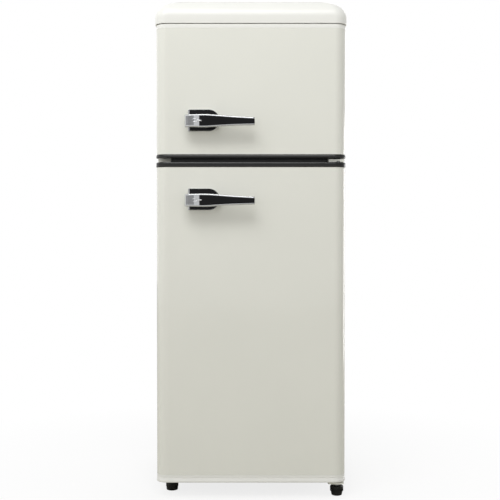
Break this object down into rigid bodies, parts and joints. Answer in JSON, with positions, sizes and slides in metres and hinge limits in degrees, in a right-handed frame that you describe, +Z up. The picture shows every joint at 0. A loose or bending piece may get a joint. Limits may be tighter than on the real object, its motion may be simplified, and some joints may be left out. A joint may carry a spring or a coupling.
{
  "type": "mini fridge",
  "caption": "Compact retro upright fridge with a separate freezer above, rounded doors, chrome lever handles, levelling feet and a rear condenser coil.",
  "frame": {"origin": "on the floor, under the middle of the whole fridge's box", "axes": "+Z up, doors face -Y, +X to the right as seen from the front"},
  "size_m": [0.476, 0.552, 1.236],
  "materials": {
    "cream_enamel": "gloss",
    "cream_plastic": "gloss",
    "black_trim": "gloss",
    "chrome": "polished",
    "black_plastic": "matte",
    "black_paint": "satin",
    "zinc_steel": "satin",
    "white_plastic": "satin",
    "clear_plastic": "gloss",
    "shelf_glass": "gloss",
    "white_wire": "satin",
    "foam": "matte",
    "copper": "satin",
    "aluminium": "satin",
    "seal_rubber": "matte"
  },
  "bodies": {
    "cabinet": {"top_plate": "cream_enamel", "left_side_panel": "cream_enamel", "right_side_panel": "cream_enamel", "mid_rail": "cream_enamel", "mid_hinge": "cream_enamel", "bottom_hinge": "cream_enamel", "top_cover": "cream_plastic", "rear_left_foot": "black_plastic", "rear_right_foot": "black_plastic", "relay_cover": "black_plastic", "drip_tray": "black_plastic", "cord_gland": "black_plastic", "compressor": "black_paint", "condenser_coil": "black_paint", "rear_panel": "zinc_steel", "base_plate": "zinc_steel", "compressor_rail": "zinc_steel", "top_hinge": "zinc_steel", "top_hinge_pin": "zinc_steel", "mid_hinge_pin": "zinc_steel", "freezer_liner": "white_plastic", "fridge_liner": "white_plastic", "thermostat_housing": "white_plastic", "crisper_drawer": "clear_plastic", "upper_glass_shelf": "shelf_glass", "lower_glass_shelf": "shelf_glass", "crisper_cover": "shelf_glass", "freezer_shelf": "white_wire", "insulation_foam": "foam", "suction_line": "copper", "filter_drier": "copper", "freezer_evaporator": "aluminium", "fridge_evaporator": "aluminium"},
    "freezer_door": {"freezer_door_skin": "cream_enamel", "freezer_door_top_cap": "cream_plastic", "freezer_door_bottom_cap": "black_trim", "freezer_handle_insert": "black_trim", "freezer_handle_base": "chrome", "freezer_handle_lever": "chrome", "freezer_door_liner": "white_plastic", "freezer_door_bin": "clear_plastic", "freezer_door_foam": "foam", "freezer_door_gasket": "seal_rubber"},
    "fridge_door": {"fridge_door_skin": "cream_enamel", "fridge_door_bottom_cap": "cream_plastic", "fridge_door_top_cap": "black_trim", "fridge_handle_insert": "black_trim", "fridge_handle_base": "chrome", "fridge_handle_lever": "chrome", "fridge_door_liner": "white_plastic", "fridge_door_upper_bin": "clear_plastic", "fridge_door_middle_bin": "clear_plastic", "fridge_door_bottle_bin": "clear_plastic", "fridge_door_foam": "foam", "fridge_door_gasket": "seal_rubber"},
    "thermostat_dial": {"thermostat_dial": "white_plastic"},
    "front_left_foot": {"front_left_foot": "black_plastic", "left_foot_stud": "zinc_steel"},
    "front_right_foot": {"front_right_foot": "black_plastic", "bottom_hinge_stud": "zinc_steel"}
  },
  "joints": [
    {"name": "freezer_door_hinge", "type": "hinge", "parent": "cabinet", "child": "freezer_door", "pos_m": [0.216, -0.206, 1], "axis": [0, 0, 1], "range_deg": [0, 110]},
    {"name": "fridge_door_hinge", "type": "hinge", "parent": "cabinet", "child": "fridge_door", "pos_m": [0.216, -0.206, 0.43], "axis": [0, 0, 1], "range_deg": [0, 110]},
    {"name": "thermostat_turn", "type": "hinge", "parent": "cabinet", "child": "thermostat_dial", "pos_m": [0.12, -0.07, 0.791], "axis": [0, 1, 0], "range_deg": [0, 300]},
    {"name": "front_left_foot_turn", "type": "hinge", "parent": "cabinet", "child": "front_left_foot", "pos_m": [-0.202, -0.156, 0.01], "axis": [0, 0, 1], "range_deg": [-360, 360]},
    {"name": "front_right_foot_turn", "type": "hinge", "parent": "cabinet", "child": "front_right_foot", "pos_m": [0.216, -0.206, 0.01], "axis": [0, 0, 1], "range_deg": [-360, 360]}
  ]
}
